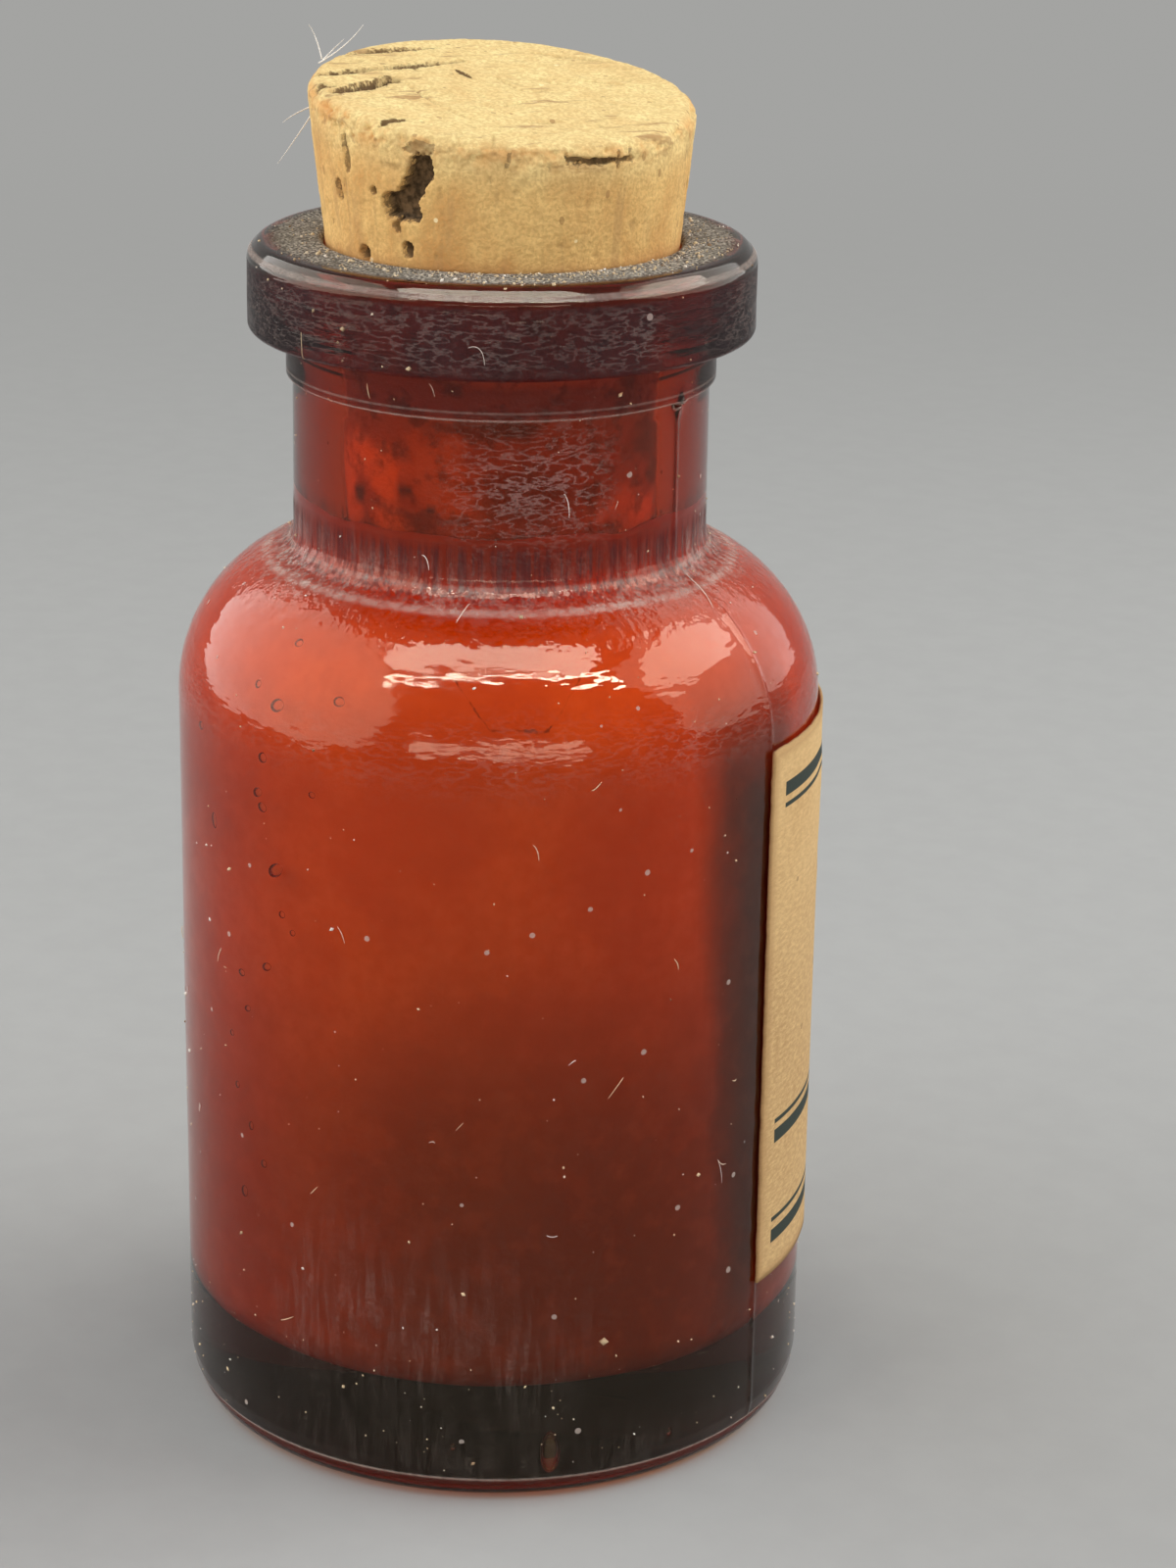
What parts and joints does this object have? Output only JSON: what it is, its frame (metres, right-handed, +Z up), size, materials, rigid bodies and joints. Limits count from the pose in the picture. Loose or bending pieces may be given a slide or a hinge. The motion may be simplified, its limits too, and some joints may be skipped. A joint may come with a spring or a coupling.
{
  "type": "apothecary bottle",
  "caption": "Small round amber glass bottle with a wide flanged lip, closed by a tapered cork, holding powder and carrying a wrap-round paper label.",
  "frame": {"origin": "middle of the bearing ring, on the surface that the bottle stands on", "axes": "+Z up along the bottle's axis; -Y through the middle of the label; +X and -X through the mould seams"},
  "size_m": [0.0336, 0.0333, 0.0705],
  "materials": {
    "amber_glass": "glossy moulded dark amber glass",
    "cork": "natural cork, dry and pitted",
    "label_paper": "aged uncoated paper",
    "powder": "fine caked powder"
  },
  "bodies": {
    "bottle": {"glass_bottle": "amber_glass", "powder_fill": "powder", "paper_label": "label_paper"},
    "cork": {"cork_stopper": "cork"}
  },
  "joints": [
    {"name": "cork_pull", "type": "slide", "parent": "bottle", "child": "cork", "axis": [0, 0, 1], "range_m": [0, 0.03]}
  ]
}
